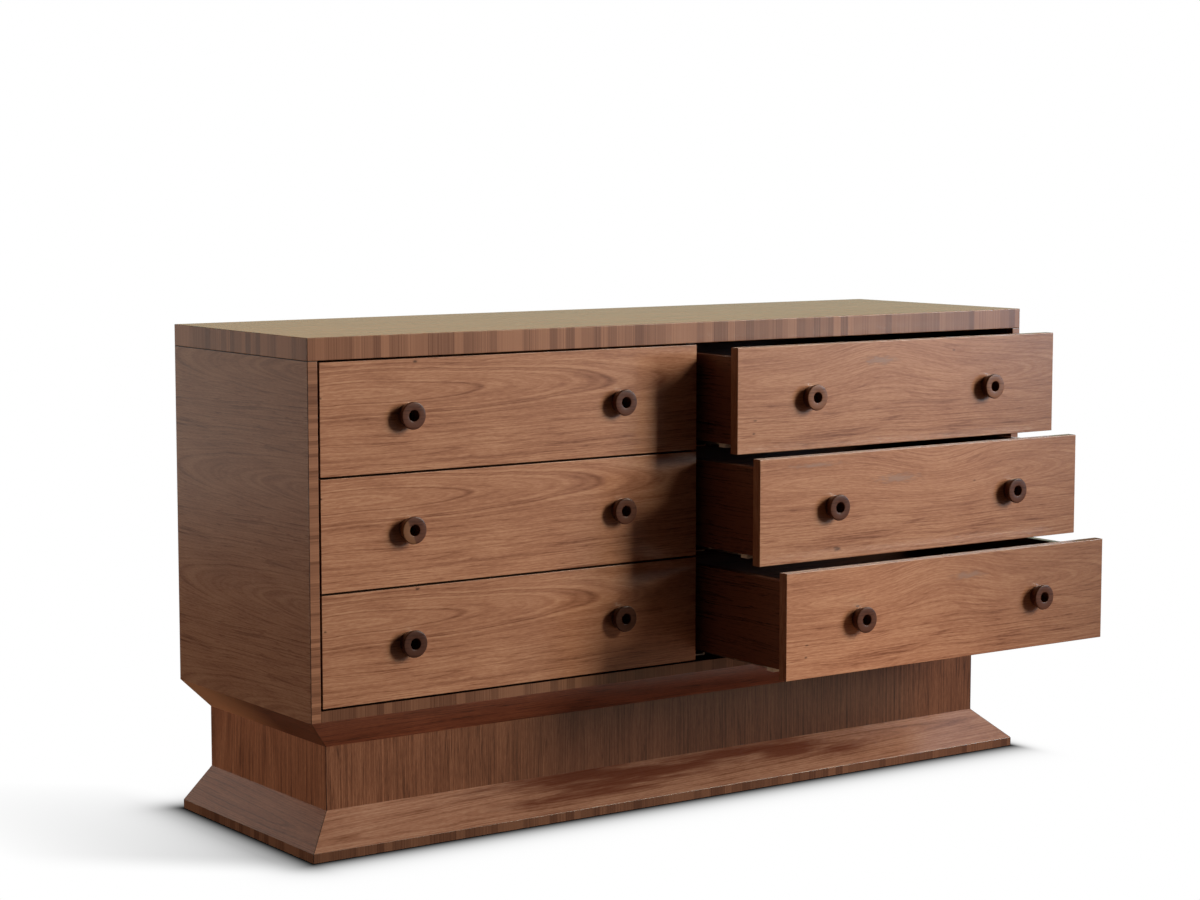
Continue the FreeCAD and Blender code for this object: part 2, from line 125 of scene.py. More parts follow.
class ChestSizes(bpy.types.PropertyGroup):
    """Sizes of the patterns in the wood."""

    ring: size("Ring", 12, "Distance between growth rings")
    fine_ring: size("Fine ring", 3.2, "Distance between the fine lines within a ring")
    streak_width: size("Streak width", 1.9, "Width of the long grain lines")
    streak_length: size("Streak length", 80, "Length of the long grain lines")
    pore_width: size("Pore width", 1.3, "Width of the pores, drawn coarser than the wood's 0.3 mm to show")
    pore_length: size("Pore length", 12, "Length of the pores")
    hair_gap: size("Hair line gap", 7, "Distance between the hair lines along the grain")
    hair_length: size("Hair line length", 240, "Length of the hair lines")
    strip: size("Strip", 17, "Width of a strip of the cross-grain edging")
    seam: size("Seam", 1.3, "Half the width of a glue line")


class ChestStage(bpy.types.PropertyGroup):
    """The camera and the lights. A light's level is how bright it makes a white card that faces it."""

    camera_place: bpy.props.FloatVectorProperty(
        name="Camera", description="Where the camera stands", subtype="TRANSLATION", unit="LENGTH",
        default=(-2.7645, -4.0807, 1.0950))
    camera_turn: bpy.props.FloatVectorProperty(
        name="Turn", description="Camera's turn about X, Y and Z", subtype="EULER",
        default=(math.radians(83.9692), 0, math.radians(-35.2555)))
    lens: bpy.props.FloatProperty(
        name="Lens", description="Focal length on a 36 mm wide sensor", unit="CAMERA", default=79.636)
    key_level: share("Key", 0.665, "Level of the softbox at the front right")
    side_level: share("Side key", 0.38, "Level of the weaker softbox to the right of it")
    sheen_level: share("Sheen", 0.165, "Level of the low panel that the fronts' right ends mirror")
    wall_level: share("Wall", 0.099, "Level of the warm wall behind the chest")
    sweep_level: share("Sweep", 0.055, "Level of the pale paper behind the chest that its top mirrors")
    fill_level: share("Fill", 0.073, "Level of the warm panel at the left")
    mirror_level: share(
        "Mirror", 0.068, "Level of the tall panel behind, at the left, that the side and its skirt mirror")
    low_level: share("Low fill", 0.08, "Level of the strip at the left, near the floor")
    upper_level: share("Upper", 0.055, "Level of the panel above, at the right, that the skirt mirrors")
    bounce_level: share("Bounce", 0.055, "Level of the reddish bounce under the open drawers")


def add(tree, kind, inputs=None, **settings):
    """Add a node, set its properties, give each named input a value or a link, and return its outputs."""
    node = tree.nodes.new(kind if kind.startswith("Node") else f"ShaderNode{kind}")
    for name, value in settings.items():
        setattr(node, name, value)
    for key, value in (inputs or {}).items():
        if isinstance(value, bpy.types.NodeSocket):
            tree.links.new(value, node.inputs[key])
        else:
            node.inputs[key].default_value = value
    return node.outputs


def new_material(name):
    """An empty node material and its tree."""
    material = bpy.data.materials.new(name)
    material.use_nodes = True
    material.node_tree.nodes.clear()
    return material, material.node_tree


def board(tree, grain, across, centre=(0, 0, 0)):
    """Board coordinates of a surface point: along the grain, across it and into the leaf."""
    place = add(tree, "TexCoord")["Object"]
    away = add(tree, "VectorMath", {0: place, 1: centre}, operation="SUBTRACT")[0]
    parts = add(tree, "SeparateXYZ", {0: away})
    into = 3 - grain - across
    return add(tree, "CombineXYZ", {0: parts[grain], 1: parts[across], 2: parts[into]})[0]


def faces_along(tree, axis):
    """1 on faces that look along an axis, either way, and 0 elsewhere."""
    normal = add(tree, "NewGeometry")["Normal"]
    part = add(tree, "SeparateXYZ", {0: normal})[axis]
    turned = add(tree, "Math", {0: part}, operation="ABSOLUTE")[0]
    return add(tree, "Math", {0: turned, 1: 0.75}, operation="GREATER_THAN")[0]


def parted(tree, axis, rest, faces):
    """One colour on faces that look along an axis, and another on the rest."""
    return add(tree, "Mix", {0: faces_along(tree, axis), 6: rest, 7: faces}, data_type="RGBA")[2]


def crossing(tree, value, level, half_width, strength, core=0.0, **settings):
    """A line where a value passes a level. It is full within its core and fades out at its half width."""
    gap = add(tree, "Math", {0: value, 1: level}, operation="SUBTRACT")[0]
    gap = add(tree, "Math", {0: gap}, operation="ABSOLUTE")[0]
    return add(tree, "MapRange", {0: gap, 1: core, 2: half_width, 3: strength, 4: 0.0}, **settings)[0]


def walnut_figure(sizes):
    """Node group of sliced walnut: growth rings round a heart that runs along the board, cut flat.

    Board holds metres along the grain, across it and into the leaf. Slice is how deep the heart lies
    under the leaf, Rise and Bow how that changes along the grain, Heart where it lies across the leaf,
    Arch how far the grain bends aside at Arch At, and Seed picks another tree. Tone is 0 in the palest
    wood and 1 in the darkest, Pores is the short pores alone, and Radius is the distance to the heart.
    """
    tree = bpy.data.node_groups.new("walnut_figure", "ShaderNodeTree")
    tree.interface.new_socket("Board", in_out="INPUT", socket_type="NodeSocketVector")
    for name in ("Slice", "Rise", "Bow", "Heart", "Arch", "Arch At", "Seed"):
        tree.interface.new_socket(name, in_out="INPUT", socket_type="NodeSocketFloat")
    for name in ("Tone", "Pores", "Radius"):
        tree.interface.new_socket(name, in_out="OUTPUT", socket_type="NodeSocketFloat")
    given = add(tree, "NodeGroupInput")
    point, seed = given["Board"], given["Seed"]
    along, across, into = add(tree, "SeparateXYZ", {0: point})

    # The grain wanders by some millimetres, in waves 200 mm long and 70 mm wide
    wide = add(tree, "VectorMath", {0: point, 1: (5, 14, 14)}, operation="MULTIPLY")[0]
    wander = add(tree, "TexNoise", {"Vector": wide, "W": seed, "Scale": 1.0, "Detail": 3.0},
                 noise_dimensions="4D")[0]
    wander = add(tree, "MapRange", {0: wander, 3: -7*MM, 4: 7*MM})[0]

    # It bends aside over 120 mm, most in the upper half of the leaf
    gone = add(tree, "Math", {0: along, 1: given["Arch At"]}, operation="SUBTRACT")[0]
    bend = add(tree, "Math", {0: gone, 1: gone}, operation="MULTIPLY")[0]
    bend = add(tree, "Math", {0: bend, 1: -1/0.12**2}, operation="MULTIPLY")[0]
    bend = add(tree, "Math", {0: bend}, operation="EXPONENT")[0]
    fade = add(tree, "MapRange", {0: across, 1: -0.04, 2: 0.06, 3: 0.08, 4: 1.0},
               interpolation_type="SMOOTHSTEP")[0]
    bend = add(tree, "Math", {0: bend, 1: fade}, operation="MULTIPLY")[0]
    bend = add(tree, "Math", {0: bend, 1: given["Arch"], 2: given["Heart"]}, operation="MULTIPLY_ADD")[0]
    off = add(tree, "Math", {0: across, 1: bend}, operation="SUBTRACT")[0]
    off = add(tree, "Math", {0: off, 1: wander}, operation="ADD")[0]

    # The heart's depth changes along the board, which draws the cathedral tips
    slope = add(tree, "Math", {0: along, 1: given["Bow"], 2: given["Rise"]}, operation="MULTIPLY_ADD")[0]
    deep = add(tree, "Math", {0: along, 1: slope, 2: given["Slice"]}, operation="MULTIPLY_ADD")[0]
    deep = add(tree, "Math", {0: deep, 1: into}, operation="ADD")[0]
    flat = add(tree, "CombineXYZ", {0: off, 1: deep})[0]
    radius = add(tree, "VectorMath", {0: flat}, operation="LENGTH")["Value"]
    ringed = add(tree, "Math", {0: radius, 1: seed}, operation="ADD")[0]

    # Thin late-wood lines stand where a slow wave over the radius crosses its middle
    wave = add(tree, "TexNoise", {"W": ringed, "Scale": 1/sizes.ring, "Detail": 2.0},
               noise_dimensions="1D")[0]
    late = crossing(tree, wave, 0.5, 0.04, 0.5)
    fine = add(tree, "TexNoise", {"W": ringed, "Scale": 1/sizes.fine_ring, "Detail": 2.0},
               noise_dimensions="1D")[0]
    fine = add(tree, "MapRange", {0: fine, 1: 0.38, 2: 0.62})[0]

    # Long grain lines, pores drawn coarser than real ones so that they show, and clouds of 120 by 25 mm
    drawn = add(tree, "CombineXYZ", {0: along, 1: off, 2: into})[0]
    kinds = []
    for length, width, detail in ((sizes.streak_length, sizes.streak_width, 2.0),
                                  (sizes.pore_length, sizes.pore_width, 3.0), (120*MM, 25*MM, 1.0)):
        scale = 1/length, 1/width, 1/width
        scaled = add(tree, "VectorMath", {0: drawn, 1: scale}, operation="MULTIPLY")[0]
        noise = {"Vector": scaled, "W": seed, "Scale": 1.0, "Detail": detail, "Roughness": 0.6}
        kind = add(tree, "TexNoise", noise, noise_dimensions="4D")[0]
        kinds.append(add(tree, "MapRange", {0: kind, 1: 0.34, 2: 0.66})[0])
    streaks, pores, cloud = kinds

    # Long hair lines stand where a wave drawn out along the grain crosses its middle
    scale = 1/sizes.hair_length, 1/sizes.hair_gap, 1/sizes.hair_gap
    scaled = add(tree, "VectorMath", {0: drawn, 1: scale}, operation="MULTIPLY")[0]
    hair = add(tree, "TexNoise", {"Vector": scaled, "W": seed, "Scale": 1.0, "Detail": 1.5},
               noise_dimensions="4D")[0]
    hair = crossing(tree, hair, 0.5, 0.032, 1.9)

    # Rings rule near the heart and grain lines further out, and the late-wood lines fade in and out
    away = add(tree, "Math", {0: off}, operation="ABSOLUTE")[0]
    straight = add(tree, "MapRange", {0: away, 1: 0.015, 2: 0.07, 3: 0.2, 4: 0.5})[0]
    grain = add(tree, "Mix", {0: straight, 2: fine, 3: streaks})[0]
    grain = add(tree, "Mix", {0: 0.5, 2: grain, 3: pores})[0]
    grain = add(tree, "Mix", {0: 0.2, 2: grain, 3: cloud})[0]
    hair = add(tree, "Math", {0: hair, 1: straight}, operation="MULTIPLY")[0]
    late = add(tree, "Math", {0: late, 1: cloud}, operation="MULTIPLY")[0]
    late = add(tree, "Math", {0: late, 1: hair}, operation="ADD")[0]
    late = add(tree, "Math", {0: late, 1: 0.36}, operation="MULTIPLY")[0]
    tone = add(tree, "Math", {0: grain, 1: 0.75, 2: late}, operation="MULTIPLY_ADD")[0]
    add(tree, "NodeGroupOutput", {"Tone": tone, "Pores": pores, "Radius": radius})


def in_metres(rows):
    """Rows of lengths in millimetres as rows in metres."""
    return [[value*MM for value in row] for row in rows]


def stained(tones, stain, strength=1.0):
    """The same tones of wood under a stain."""
    return [tuple(strength*part*film for part, film in zip(tone, stain)) for tone in tones]


def figured(tones, light, dark):
    """The same tones of wood with a stronger figure: factors of its light and of its dark wood."""
    return stained(tones[:1], WHITE, light) + tones[1:2] + stained(tones[2:], WHITE, dark)


def leaf(tree, point, cut, tones, rings=()):
    """Colour and pore lines of one leaf of veneer at board coordinates.

    Tones are its light, middle and dark wood. Rings are radii round the heart with a dark late-wood line.
    """
    figure = bpy.data.node_groups["walnut_figure"]
    tone, line, radius = add(tree, "Group", {"Board": point, **cut}, node_tree=figure)
    for ring in rings:
        late = crossing(tree, radius, ring, LATE_HALF, 0.28, interpolation_type="SMOOTHSTEP")
        tone = add(tree, "Math", {0: tone, 1: late}, operation="ADD")[0]
    light, middle, dark = tones
    early = add(tree, "MapRange", {0: tone, 1: 0.1, 2: 0.45})[0]
    late = add(tree, "MapRange", {0: tone, 1: 0.45, 2: 0.95})[0]
    shown = add(tree, "Mix", {0: early, 6: (*light, 1), 7: (*middle, 1)}, data_type="RGBA")[2]
    shown = add(tree, "Mix", {0: late, 6: shown, 7: (*dark, 1)}, data_type="RGBA")[2]
    return shown, line


def marked(tree, wood, point, marks, mark_colour, strength, torn=(60, 260, 0)):
    """Draw spots on the wood: pin knots, mineral streaks or dark streaks.

    Each mark is its place along and across the leaf, its half length and its half height. Torn is how many
    notches its outline has in a metre, along and across the leaf.
    """
    rough = add(tree, "VectorMath", {0: point, 1: torn}, operation="MULTIPLY")[0]
    rough = add(tree, "TexNoise", {"Vector": rough, "Scale": 1.0, "Detail": 3.0})[0]
    rough = add(tree, "MapRange", {0: rough, 1: 0.25, 2: 0.75, 3: -0.1, 4: 1.1})[0]
    spots = 0.0
    for along, across, half_length, half_height in marks:
        away = add(tree, "VectorMath", {0: point, 1: (along, across, 0)}, operation="SUBTRACT")[0]
        away = add(tree, "VectorMath", {0: away, 1: (1/half_length, 1/half_height, 0)},
                   operation="MULTIPLY")[0]
        away = add(tree, "VectorMath", {0: away}, operation="LENGTH")["Value"]
        away = add(tree, "Math", {0: away, 1: rough}, operation="ADD")[0]
        spot = add(tree, "MapRange", {0: away, 1: 0.7, 2: 1.7, 3: strength, 4: 0.0},
                   interpolation_type="SMOOTHSTEP")[0]
        spots = add(tree, "Math", {0: spot, 1: spots}, operation="MAXIMUM")[0]
    return add(tree, "Mix", {0: spots, 6: wood, 7: (*mark_colour, 1)}, data_type="RGBA")[2]


def painted_fade(tree, wood, point, way, start, end, before, after):
    """Paint light or shade on the wood: its colour scales between two places along (0) or across (1) a board.
    """
    gone = add(tree, "SeparateXYZ", {0: point})[way]
    tone = add(tree, "MapRange", {0: gone, 1: start, 2: end, 3: before, 4: after})[0]
    return add(tree, "VectorMath", {0: wood, "Scale": tone}, operation="SCALE")[0]


def strips(tree, point, width, light, dark, gap=2.4*MM, most=0.6):
    """Colour and lines of cross-grain edging: strips of walnut side by side, across board coordinates.

    Gap is the distance between the lines in a strip, and most how much they show in the most lined one.
    """
    across = add(tree, "SeparateXYZ", {0: point})[1]
    cell = add(tree, "TexVoronoi", {"W": across, "Scale": 1/width, "Randomness": 1.0},
               voronoi_dimensions="1D")["Color"]
    tone, lined, _ = add(tree, "SeparateColor", {0: cell})
    lines = add(tree, "TexNoise", {"W": across, "Scale": 1/gap, "Detail": 2.0}, noise_dimensions="1D")[0]
    lines = add(tree, "MapRange", {0: lines, 1: 0.35, 2: 0.65})[0]
    amount = add(tree, "MapRange", {0: lined, 1: 0.4, 2: 1.0, 3: most/3, 4: most})[0]
    tone = add(tree, "Mix", {0: amount, 2: tone, 3: lines})[0]
    shown = add(tree, "Mix", {0: tone, 6: (*light, 1), 7: (*dark, 1)}, data_type="RGBA")[2]
    return shown, lines


def seamed(tree, wood, sizes, seam):
    """Darken the wood along the glue lines of the front corners, which lie in the mitre planes."""
    place = add(tree, "TexCoord")["Object"]
    x, y, _ = add(tree, "SeparateXYZ", {0: place})
    aside = add(tree, "Math", {0: x}, operation="ABSOLUTE")[0]
    gone = add(tree, "Math", {0: aside, 1: y}, operation="ADD")[0]
    line = crossing(tree, gone, HALF_WIDTH + FRONT_Y, sizes.seam, 0.85, 0.5*sizes.seam)
    upright = add(tree, "Math", {0: 1.0, 1: faces_along(tree, Z)}, operation="SUBTRACT")[0]
    line = add(tree, "Math", {0: line, 1: upright}, operation="MULTIPLY")[0]
    return add(tree, "Mix", {0: line, 6: wood, 7: (*seam, 1)}, data_type="RGBA")[2]


def lacquered(tree, wood, lines, roughness=0.27, ior=1.5):
    """Satin lacquer over wood: a soft sheen, and pores that still show as fine relief."""
    bump = add(tree, "Bump", {"Height": lines, "Strength": 0.2, "Distance": 0.05*MM})[0]
    shader = add(tree, "BsdfPrincipled", {
        "Base Color": wood, "Roughness": roughness, "IOR": ior, "Normal": bump})[0]
    add(tree, "OutputMaterial", {"Surface": shader})


def dress(name, material):
    """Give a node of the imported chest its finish."""
    slots = NODES[name].data.materials
    slots.clear()
    slots.append(material)


def turned(shape, outline, centre):
    """Turn an outline of (radius, depth in front of the drawer) about the knob's axis, which runs along Y."""
    corners = [shape.verts.new(centre + Vector((radius, -depth, 0))) for radius, depth in outline]
    edges = [shape.edges.new(pair) for pair in zip(corners, corners[1:])]
    bmesh.ops.spin(shape, geom=corners + edges, cent=centre, axis=(0, 1, 0), angle=2*math.pi, steps=96,
                   use_merge=True)


def rounded(corner, before, after, radius, steps=6):
    """Points of an arc that rounds a corner between two straight runs of an outline."""
    corner = Vector(corner)
    one = (Vector(before) - corner).normalized()
    two = (Vector(after) - corner).normalized()
    half = one.angle(two)/2
    centre = corner + (one + two).normalized()*radius/math.sin(half)
    start = corner + one*radius/math.tan(half) - centre
    end = corner + two*radius/math.tan(half) - centre
    return [tuple(centre + radius*start.slerp(end, step/steps)) for step in range(steps + 1)]


def drawn(shape, outline, start, end):
    """Draw an outline of (x, z) points along Y, as a mill draws a steel section."""
    face = shape.faces.new([shape.verts.new((x, start, z)) for x, z in outline])
    made = bmesh.ops.extrude_face_region(shape, geom=[face])["geom"]
    corners = [part for part in made if isinstance(part, bmesh.types.BMVert)]
    bmesh.ops.translate(shape, vec=(0, end - start, 0), verts=corners)


def eased(shape, low, high, easing):
    """Add a block between two corners, with its edges eased."""
    place = Matrix.Translation((low + high)/2) @ Matrix.Diagonal((*(high - low), 1))
    corners = bmesh.ops.create_cube(shape, size=1, matrix=place)["verts"]
    edges = list({edge for corner in corners for edge in corner.link_edges})
    bmesh.ops.bevel(shape, geom=edges, offset=easing, offset_type="OFFSET", affect="EDGES", segments=2,
                    profile=0.5, material=-1)


def piece(name, shape, material, body, node):
    """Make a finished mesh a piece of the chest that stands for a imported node."""
    bmesh.ops.remove_doubles(shape, verts=shape.verts, dist=1e-6)
    bmesh.ops.recalc_face_normals(shape, faces=shape.faces)
    for face in shape.faces:
        face.smooth = True
    for edge in shape.edges:
        edge.smooth = edge.calc_face_angle(0) < CRISP
    mesh = bpy.data.meshes.new(name)
    shape.to_mesh(mesh)
    shape.free()
    mesh.materials.append(material)
    thing = bpy.data.objects.new(name, mesh)
    bpy.context.scene.collection.objects.link(thing)
    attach(thing, body)
    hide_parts(node)


class CHEST_OT_fronts(bpy.types.Operator):
    """Dress the six drawer fronts in sequence-matched walnut leaves"""

    bl_idname = "chest.fronts"
    bl_label = "Drawer fronts"

    # Of each front: the leaf's cut, mineral streaks and pin knots, in millimetres from the front's middle
    LEAVES = {
        "left_top": ({"Slice": 32, "Heart": 38}, (), ((-195, 85, 5, 2), (-368, 34, 3, 2))),
        "left_middle": ({"Slice": 33.5, "Heart": 52}, (), ((-369, 60, 3, 2),)),
        "left_bottom": ({"Slice": 34.5, "Heart": 40}, (), ((-193, 86, 5, 2), (-364, 33, 3, 2))),
        "right_top": ({"Slice": 14, "Heart": 30, "Arch": 30, "Arch At": -40},
                      ((-52, 57, 38, 7),), ((-331, -35, 5, 2), (-335, -57, 4, 2), (123, 68, 5, 2))),
        "right_middle": ({"Slice": 12, "Heart": 42, "Arch": -30, "Arch At": 30},
                         ((-62, 40, 50, 8), (-250, 74, 60, 4)), ((-200, -74, 9, 4), (119, 24, 5, 2))),
        "right_bottom": ({"Slice": 15, "Heart": 34, "Arch": 30, "Arch At": -15},
                         ((40, 53, 40, 7),), ((-325, -34, 5, 2), (-327, -54, 4, 2), (-215, 22, 5, 2))),
    }
    # Painted shade along some fronts, most towards the right ends of the right-hand ones: where along a front
    # its tone starts and ends to change, in metres, and the tones there
    PAINTED_FALLS = {
        "left_bottom": (-0.37, 0.1, 0.93, 0.95),
        "right_top": (0.1, 0.37, 1.0, 0.78),
        "right_middle": (0.1, 0.37, 1.02, 0.8),
        "right_bottom": (-0.2, 0.37, 1.06, 0.67),
    }
    # How the heart runs under the leaves of a column, and their tree
    TREES = {"left": {"Rise": 0.0726, "Seed": 1.0}, "right": {"Rise": 0.02, "Bow": 0.14, "Seed": 4.7}}
    RINGS = {"left": (17.2*MM, 33.4*MM, 36.2*MM, 44.3*MM), "right": ()}  # radii at the cathedral tips
    ENDS = {"left": 0.4, "right": 1.0}  # how light the fronts' edges are beside one another, as painted shade in the gaps, darkest in the left column
    OUTLINE, STREAK, KNOT = 0.5, 0.5, 0.7  # how much the marks hide the wood

    def execute(self, context):
        colours = context.scene.chest_colours
        tones = colours.veneer_light, colours.veneer_middle, colours.veneer_dark
        for key, (cut, streaks, knots) in self.LEAVES.items():
            column = key.split("_")[0]
            name = f"{key}_drawer_front"
            low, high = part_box(name)
            # Flat-cut walnut veneer, lacquered: warm brown, with cathedrals, fine dark lines and a soft sheen
            material, tree = new_material(f"walnut veneer, {key} front")
            cut = {part: value*MM for part, value in cut.items()} | self.TREES[column]
            point = board(tree, X, Z, (low + high)/2)
            face, lines = leaf(tree, point, cut, tones, self.RINGS[column])
            if streaks:
                streaks = in_metres(streaks)
                outlines = [(along, across, 1.2*long, 1.35*tall) for along, across, long, tall in streaks]
                face = marked(tree, face, point, outlines, colours.veneer_dark, self.OUTLINE)
                face = marked(tree, face, point, streaks, colours.mineral, self.STREAK)
            face = marked(tree, face, point, in_metres(knots), colours.seam, self.KNOT)
            # Painted shade: the front's tone changes along its length
            if key in self.PAINTED_FALLS:
                face = painted_fade(tree, face, point, 0, *self.PAINTED_FALLS[key])
            # The fronts' edges are darker than their faces: painted shade in the gaps between the fronts
            edge = stained(tones, WHITE, colours.end_shade*self.ENDS[column])
            end, _ = leaf(tree, board(tree, Z, Y, low), dict(cut, Slice=0.2), edge)
            lacquered(tree, parted(tree, Y, end, face), lines)
            dress(name, material)
        return {"FINISHED"}


class CHEST_OT_case(bpy.types.Operator):
    """Dress the top, the sides, the bottom, the back and the partition"""

    bl_idname = "chest.case"
    bl_label = "Case"

    END, BOTTOM = 1.42, 1.5  # how light the top's end is, as painted light, and how light the bottom's edging is
    LEAF = (-50*MM, 136*MM)  # foot and head of a side's leaf, from its heart
    NARROW = 0.4  # width of the sides' edging strips beside the top's

    def execute(self, context):
        colours, sizes = context.scene.chest_colours, context.scene.chest_sizes
        tones = colours.veneer_light, colours.veneer_middle, colours.veneer_dark
        inner_tones = colours.box_light, colours.box_light, colours.box_dark
        bands = colours.band_light, colours.band_dark

        # Walnut veneer laid lengthwise, lacquered: straight grain that mirrors the studio, and striped edging
        material, tree = new_material("walnut veneer, top")
        cut = {"Slice": 0.05, "Rise": 0.08, "Heart": -0.23, "Seed": 11.0}
        point = board(tree, X, Y, TOP_HIGH)
        point = add(tree, "VectorMath", {0: point, 1: (0.5, 1, 1)}, operation="MULTIPLY")[0]
        face, lines = leaf(tree, point, cut, tones)
        front, _ = strips(tree, board(tree, Z, X), sizes.strip, *bands)
        # The top's ends take lighter strips than its front: painted light
        end, _ = strips(tree, board(tree, Z, Y), sizes.strip, *stained(bands, WHITE, self.END))
        wood = parted(tree, Z, parted(tree, X, front, end), face)
        lacquered(tree, seamed(tree, wood, sizes, colours.seam), lines)
        dress("top_panel", material)

        # Walnut veneer, three leaves high, lacquered: cathedrals that point to the back, and a dark inside
        # that is painted shade in the gaps beside the fronts
        for side, seed, inward in (("left", 21.0, 1), ("right", 23.0, -1)):
            name = f"{side}_side_panel"
            low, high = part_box(name)
            material, tree = new_material(f"walnut veneer, {side} side")
            cut = {"Slice": 0.03, "Rise": 0.08, "Seed": seed}
            place = board(tree, Y, Z, (0, (low.y + high.y)/2, low.z))
            along, height, _ = add(tree, "SeparateXYZ", {0: place})
            up = add(tree, "Math", {0: height, 1: self.LEAF[0], 2: self.LEAF[1]}, operation="WRAP")[0]
            point = add(tree, "CombineXYZ", {0: along, 1: up})[0]
            face, lines = leaf(tree, point, cut, tones)
            inside, _ = leaf(tree, point, cut, inner_tones)
            # The inner faces take the dark box tones: painted shade in the gaps beside the fronts
            normal = add(tree, "NewGeometry")["Normal"]
            inner = add(tree, "VectorMath", {0: normal, 1: (inward, 0, 0)}, operation="DOT_PRODUCT")["Value"]
            inner = add(tree, "Math", {0: inner, 1: 0.75}, operation="GREATER_THAN")[0]
            face = add(tree, "Mix", {0: inner, 6: face, 7: inside}, data_type="RGBA")[2]
            edge, _ = strips(tree, board(tree, X, Z, low), self.NARROW*sizes.strip, *bands)
            wood = parted(tree, Y, face, edge)
            # Painted shade: a dark line in the seam colour along the top edge, where the groove under the top
            # lies
            top_groove_shade = high.z - low.z - sizes.seam
            top_groove_shade = add(tree, "Math", {0: height, 1: top_groove_shade}, operation="GREATER_THAN")[0]
            wood = add(tree, "Mix", {0: top_groove_shade, 6: wood, 7: (*colours.seam, 1)}, data_type="RGBA")[2]
            lacquered(tree, seamed(tree, wood, sizes, colours.seam), lines)
            dress(name, material)

        # Walnut edging, lacquered: a striped line under the drawers, and flat faces in the seam colour,
        # painted shade that keeps the gaps deep
        material, tree = new_material("walnut veneer, bottom")
        edge, lines = strips(tree, board(tree, Z, X), sizes.strip, *stained(bands, colours.foot, self.BOTTOM))
        lacquered(tree, parted(tree, Z, edge, (*colours.seam, 1)), lines)
        dress("bottom_panel", material)

        # Walnut board, lacquered: dark and plain behind the drawers
        material, tree = new_material("walnut board, inside")
        cut = {"Slice": 0.05, "Rise": 0.05, "Seed": 31.0}
        wood, lines = leaf(tree, board(tree, Y, Z), cut, inner_tones)
        lacquered(tree, wood, lines)
        dress("centre_partition", material)

        # Walnut board, left matt: upright grain without a gleam
        material, tree = new_material("walnut board, back")
        wood, lines = leaf(tree, board(tree, Z, X), dict(cut, Seed=37.0), tones)
        lacquered(tree, wood, lines, 0.6)
        for name in ("back_panel", "plinth_back", "plinth_corner_blocks"):
            dress(name, material)
        return {"FINISHED"}


